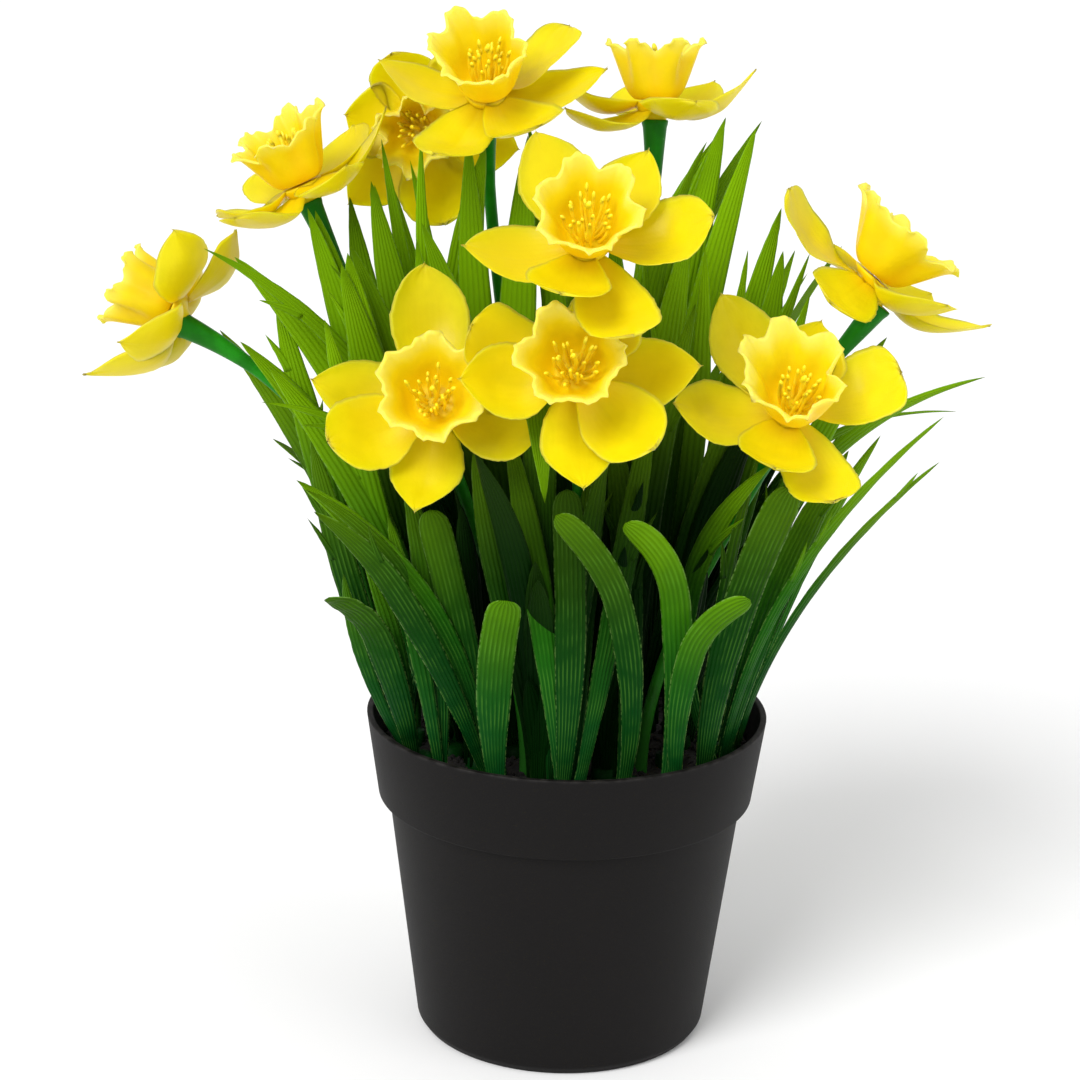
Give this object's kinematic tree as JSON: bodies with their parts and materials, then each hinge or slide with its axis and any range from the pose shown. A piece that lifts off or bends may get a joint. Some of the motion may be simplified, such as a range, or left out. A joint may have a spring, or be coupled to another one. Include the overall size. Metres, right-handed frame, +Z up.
{
  "type": "potted daffodil",
  "caption": "Artificial daffodil plant in a plain black nursery pot: yellow trumpet flowers on green stems above a dense tuft of grass-like leaves.",
  "frame": {"origin": "centre of the flat underside of the pot", "axes": "+Z up, -Y the front that the picture shows, +X to the right seen from the front"},
  "size_m": [0.2623, 0.1946, 0.3064],
  "materials": {
    "pot": "fine matte",
    "potting": "dull",
    "stem": "satin",
    "tepal": "satin",
    "trumpet": "satin",
    "leaf": "satin"
  },
  "bodies": {
    "root": {"pot": "pot", "potting_block": "potting", "stem_01": "stem", "perianth_01": "tepal", "trumpet_01": "trumpet", "stem_02": "stem", "perianth_02": "tepal", "trumpet_02": "trumpet", "stem_03": "stem", "perianth_03": "tepal", "trumpet_03": "trumpet", "stem_04": "stem", "perianth_04": "tepal", "trumpet_04": "trumpet", "stem_05": "stem", "perianth_05": "tepal", "trumpet_05": "trumpet", "stem_06": "stem", "perianth_06": "tepal", "trumpet_06": "trumpet", "stem_07": "stem", "perianth_07": "tepal", "trumpet_07": "trumpet", "stem_08": "stem", "perianth_08": "tepal", "trumpet_08": "trumpet", "stem_09": "stem", "perianth_09": "tepal", "trumpet_09": "trumpet", "stem_10": "stem", "perianth_10": "tepal", "trumpet_10": "trumpet", "spray_01": "leaf", "spray_02": "leaf", "spray_03": "leaf", "spray_04": "leaf", "spray_05": "leaf", "spray_06": "leaf", "spray_07": "leaf", "spray_08": "leaf", "spray_09": "leaf", "spray_10": "leaf", "spray_11": "leaf", "spray_12": "leaf", "spray_13": "leaf", "spray_14": "leaf", "spray_15": "leaf", "spray_16": "leaf", "spray_17": "leaf", "spray_18": "leaf", "spray_19": "leaf", "spray_20": "leaf", "spray_21": "leaf", "spray_22": "leaf", "spray_23": "leaf", "spray_24": "leaf", "spray_25": "leaf", "spray_26": "leaf"}
  },
  "joints": []
}
